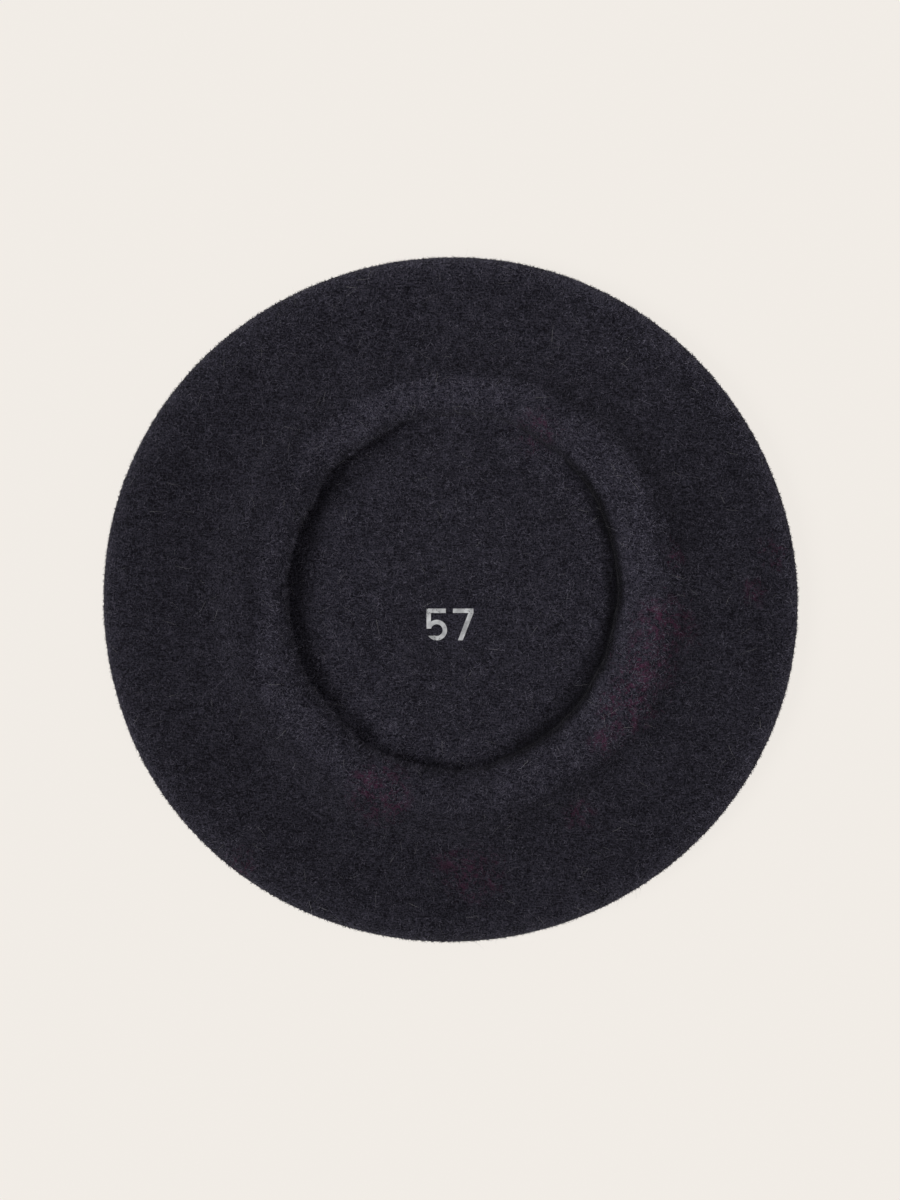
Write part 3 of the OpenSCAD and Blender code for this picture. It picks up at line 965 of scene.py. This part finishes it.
overcastThread = makeOvercast()
overcastThread.data.materials.append(threadMaterial("plyThread", 700.0))
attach(overcastThread, "hat")
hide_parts("hem_stitches")
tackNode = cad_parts["label_tacks"]
tackNode.data.materials.clear()
tackNode.data.materials.append(threadMaterial("tackThread", 800.0))
print("thread is made")


# the felted tail at the crown's middle, folded flat
tail = {
    "length": 16.0,
    "rootRadius": 1.35,
    "tipRadius": 0.95,
    "z": 1.6,
    "tableGap": 0.12,
    "rings": 16,
    "turns": 20,
    "merge": 1e-4,
    "tone": 0.46,
}
tailFuzz = {
    "length": (0.5, 1.4),
    "radius": (0.05, 0.10),
    "lean": (35, 80),
    "perSquare": 3.5,
    "flecks": 2.4,
}


def makeTail():
    bm = bmesh.new()
    tones = bm.verts.layers.float.new("feltToneAndLight")
    naps = bm.verts.layers.float.new("napTail")
    root = tail["rootRadius"]
    tip = tail["tipRadius"]
    profile = []
    for i in range(4):
        t = math.pi / 2 * i / 4
        profile.append((-root * math.cos(t), root * math.sin(t)))
    for i in range(tail["rings"]):
        u = i / (tail["rings"] - 1)
        profile.append(((tail["length"] - tip) * u, root + (tip - root) * u))
    for i in range(1, 5):
        t = math.pi / 2 * i / 4
        profile.append((tail["length"] - tip + tip * math.sin(t), tip * math.cos(t)))
    wire = [bm.verts.new((x, r, 0)) for x, r in profile]
    edges = [bm.edges.new(pair) for pair in zip(wire, wire[1:])]
    spinRound(bm, wire + edges, (1, 0, 0), tail["turns"], tail["merge"])
    for v in bm.verts:
        lumpy = 1 + 0.16 * noise.noise(v.co * 0.7) + 0.08 * noise.noise(v.co * 2.1)
        sway = 0.10 * math.sin(v.co.x * 0.45)
        v.co.y = v.co.y * lumpy + sway
        v.co.z = max(v.co.z * lumpy + tail["z"], tail["tableGap"])
        v[tones] = tail["tone"]
        v[naps] = 1.0
    return toObject(bm, "felt_tail")


feltTail = makeTail()
feltTail.data.materials.append(feltWool)
subdivide(feltTail, 1)
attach(feltTail, "stalk")
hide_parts("stalk")
growHair("tail_fuzz", feltTail, "stalk", tailFuzz, "napTail", 400, tuftWool)
print("tail is made")


# the care label: a blank satin ribbon folded in half, its cut ends rolled into the sewn bead
ribbon = {
    "axis": Vector((0, -82.499, 8.1)),
    "drop": math.radians(22.4665),
    "width": 26.0,
    "length": 14.0,
    "bead": 0.48,
    "layer": 0.13,       # each layer's middle from the fold's middle
    "thick": 0.2,
    "pale": (0.66, 0.655, 0.62, 1),
    "dark": (0.50, 0.49, 0.46, 1),
    "dullness": (0.5, 0.3),
    "bump": (0.35, 0.06),
}


def makeRibbon():
    bm = bmesh.new()
    bead = ribbon["bead"]
    layer = ribbon["layer"]
    end = ribbon["length"] - layer - ribbon["thick"] / 2
    path = []
    for i in range(8):
        t = math.radians(-55 - 215 * i / 7)
        path.append((bead * math.cos(t), bead * math.sin(t)))
    path += [(0.55, 0.34), (1.1, layer + 0.02)]
    path += [(1.1 + (end - 1.1) * i / 10, layer) for i in range(1, 11)]
    path += [(end + layer * 0.87, layer * 0.5), (end + layer * 0.87, -layer * 0.5)]
    path += [(1.1 + (end - 1.1) * i / 10, -layer) for i in range(10, -1, -1)]
    half = ribbon["width"] / 2
    wire = [bm.verts.new((-half, s, n)) for s, n in path]
    edges = [bm.edges.new(pair) for pair in zip(wire, wire[1:])]
    columns = 24
    for i in range(columns):
        made = bmesh.ops.extrude_edge_only(bm, edges=edges)["geom"]
        moved = [g for g in made if isinstance(g, bmesh.types.BMVert)]
        bmesh.ops.translate(bm, verts=moved, vec=(ribbon["width"] / columns, 0, 0))
        edges = [
            g for g in made
            if isinstance(g, bmesh.types.BMEdge) and all(v in moved for v in g.verts)]
    for v in bm.verts:
        along = max(0.0, v.co.y / ribbon["length"])
        v.co.z += 0.22 * along * along * (1 + math.sin(v.co.x * 0.33 + 0.8))
    length = sum(math.dist(p, q) for p, q in zip(path, path[1:]))
    # it points to the back, in under the brim
    turn = Matrix.Rotation(math.pi, 3, "Z") @ Matrix.Rotation(-ribbon["drop"], 3, "X")
    bmesh.ops.rotate(bm, verts=bm.verts, cent=(0, 0, 0), matrix=turn)
    bmesh.ops.translate(bm, verts=bm.verts, vec=ribbon["axis"])
    made = toObject(bm, "satin_label")
    thicken = made.modifiers.new("thicken", "SOLIDIFY")
    thicken.thickness = ribbon["thick"] * mm
    thicken.offset = 0
    subdivide(made, 1)
    return made, (ribbon["width"] * mm, length * mm)


def satinMaterial():
    material, tree, shader = newMaterial("satinRibbon", {"Sheen Weight": 0.2, "Anisotropic": 0.5})
    spot = node(tree, "ShaderNodeTexCoord").outputs["Object"]
    warp = node(
        tree, "ShaderNodeTexWave", {"Vector": spot, "Scale": 900.0, "Distortion": 0.3}, bands_direction="X")
    weft = node(
        tree, "ShaderNodeTexWave", {"Vector": spot, "Scale": 320.0, "Distortion": 0.5}, bands_direction="Y")
    slub = node(tree, "ShaderNodeTexNoise", {"Vector": spot, "Scale": 380.0, "Detail": 3.0})
    height = maths(tree, "MULTIPLY", warp.outputs["Fac"], 0.5)
    height = maths(tree, "MULTIPLY_ADD", weft.outputs["Fac"], 0.35, height)
    height = maths(tree, "MULTIPLY_ADD", slub.outputs["Fac"], 0.4, height)
    feed(tree, shader.inputs["Base Color"], blended(tree, height, ribbon["dark"], ribbon["pale"]))
    relief(tree, shader, height, ribbon)
    return material


satinLabel, ribbonFlat = makeRibbon()
satinLabel.data.materials.append(satinMaterial())
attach(satinLabel, "label")
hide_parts("care_label")
print("label is made, cut", ribbonFlat)


# the size numerals: a thin silver film pressed on the wool
film = {
    "pale": (0.60, 0.605, 0.62, 1),
    "dark": (0.33, 0.333, 0.345, 1),
    "bare": (0.05, 0.05, 0.058, 1),
    "dullness": (0.42, 0.7),
    "bump": (0.4, 0.1),
}


def filmMaterial():
    material, tree, shader = newMaterial("silverFilm", {"Specular IOR Level": 0.4})
    spot = node(tree, "ShaderNodeTexCoord").outputs["Object"]
    grain = node(tree, "ShaderNodeTexNoise", {"Vector": spot, "Scale": 1500.0, "Detail": 2.0}).outputs["Fac"]
    cloud = node(tree, "ShaderNodeTexNoise", {"Vector": spot, "Scale": 260.0, "Detail": 2.0}).outputs["Fac"]
    silver = blended(tree, ranged(tree, cloud, fromMin=0.35, fromMax=0.65), film["dark"], film["pale"])
    # tiny gaps where the wool's fibres break the film
    gaps = ranged(tree, grain, fromMin=0.66, fromMax=0.74)
    feed(tree, shader.inputs["Base Color"], blended(tree, gaps, silver, film["bare"]))
    feed(tree, shader.inputs["Metallic"], ranged(tree, gaps, toMin=0.35, toMax=0.0))
    relief(tree, shader, grain, film)
    return material


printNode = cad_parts["size_print"]
printNode.data.materials.clear()
printNode.data.materials.append(filmMaterial())
print("print is made")
